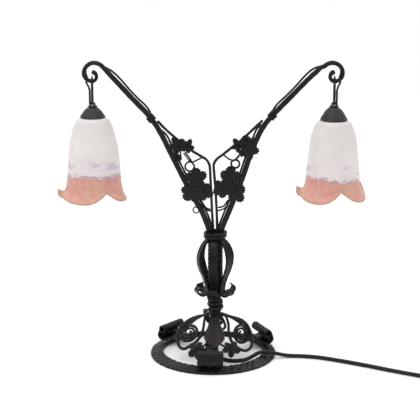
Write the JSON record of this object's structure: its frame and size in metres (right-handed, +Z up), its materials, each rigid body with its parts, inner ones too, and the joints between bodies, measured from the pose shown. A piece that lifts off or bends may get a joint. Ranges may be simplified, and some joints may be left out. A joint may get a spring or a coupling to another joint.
{
  "type": "table lamp",
  "caption": "Two-arm wrought-iron table lamp with bell glass shades hanging from hooked arms, vine-leaf ornament and a ring base on rolled feet.",
  "frame": {"origin": "on the table, at the centre of the base ring", "axes": "+Z up; the two arms spread along X; the front leg points to -Y, towards the viewer"},
  "size_m": [0.7291, 0.2744, 0.4675],
  "materials": {
    "black_iron": "hammered, blackened and waxed",
    "brown_iron": "blackened with a worn brown tint",
    "cable_black": "smooth matt sheath",
    "black_rubber": "matt",
    "frosted_glass": "frosted mould-blown glass, white above and salmon pink at the rim with violet clouds",
    "bulb_glass": "opal",
    "bulb_brass": "rolled thread",
    "ivory_plastic": "moulded",
    "black_plastic": "moulded, softly glossy",
    "nickel": "plated"
  },
  "bodies": {
    "frame": {"base_ring": "black_iron", "front_leg": "black_iron", "left_leg": "black_iron", "right_leg": "black_iron", "foot_rivets": "black_iron", "stem_tube": "black_iron", "stem_lock_nut": "black_iron", "cable_bush": "black_rubber", "rope_collar": "black_iron", "twisted_core": "black_iron", "left_base_scroll": "black_iron", "right_base_scroll": "black_iron", "back_base_scroll": "black_iron", "front_leg_leaf": "brown_iron", "base_leaves": "black_iron", "cage_bar_front": "black_iron", "cage_bar_right_front": "black_iron", "cage_bar_right_back": "black_iron", "cage_bar_back": "black_iron", "cage_bar_left_back": "black_iron", "cage_bar_left_front": "black_iron", "top_collar": "black_iron", "left_arm": "black_iron", "right_arm": "black_iron", "left_inner_rod": "black_iron", "right_inner_rod": "black_iron", "left_arm_clip": "black_iron", "right_arm_clip": "black_iron", "left_leaves": "black_iron", "right_leaves": "black_iron", "left_tendrils": "black_iron", "right_tendrils": "black_iron", "left_arm_lead": "cable_black", "right_arm_lead": "cable_black", "cord_run": "cable_black", "cord_mid": "cable_black", "cord_coil": "cable_black", "cord_tail": "cable_black", "cord_tie": "cable_black", "switch_lower_case": "black_plastic", "switch_upper_case": "black_plastic", "plug_body": "black_plastic", "plug_pins": "nickel"},
    "left_link": {"left_link": "black_iron", "left_drop_lead": "cable_black"},
    "right_link": {"right_link": "black_iron", "right_drop_lead": "cable_black"},
    "left_pendant": {"left_cap": "black_iron", "left_holder": "ivory_plastic", "left_shade_ring": "ivory_plastic", "left_shade": "frosted_glass", "left_bulb_glass": "bulb_glass", "left_bulb_base": "bulb_brass"},
    "right_pendant": {"right_cap": "black_iron", "right_holder": "ivory_plastic", "right_shade_ring": "ivory_plastic", "right_shade": "frosted_glass", "right_bulb_glass": "bulb_glass", "right_bulb_base": "bulb_brass"},
    "switch_rocker": {"switch_rocker": "black_plastic"}
  },
  "joints": [
    {"name": "left_link_swing", "type": "hinge", "parent": "frame", "child": "left_link", "pos_m": [-0.1845, 0, 0.436], "axis": [1, 0, 0], "range_deg": [-25, 25]},
    {"name": "left_pendant_swing", "type": "hinge", "parent": "left_link", "child": "left_pendant", "pos_m": [-0.1845, 0, 0.4], "axis": [0, 1, 0], "range_deg": [-18, 18]},
    {"name": "right_link_swing", "type": "hinge", "parent": "frame", "child": "right_link", "pos_m": [0.1845, 0, 0.436], "axis": [1, 0, 0], "range_deg": [-25, 25]},
    {"name": "right_pendant_swing", "type": "hinge", "parent": "right_link", "child": "right_pendant", "pos_m": [0.1845, 0, 0.4], "axis": [0, 1, 0], "range_deg": [-18, 18]},
    {"name": "switch_rocker_tilt", "type": "hinge", "parent": "frame", "child": "switch_rocker", "pos_m": [0.362, -0.1364, 0.009], "axis": [0.4848, 0.8746, 0], "range_deg": [-14, 0]}
  ]
}
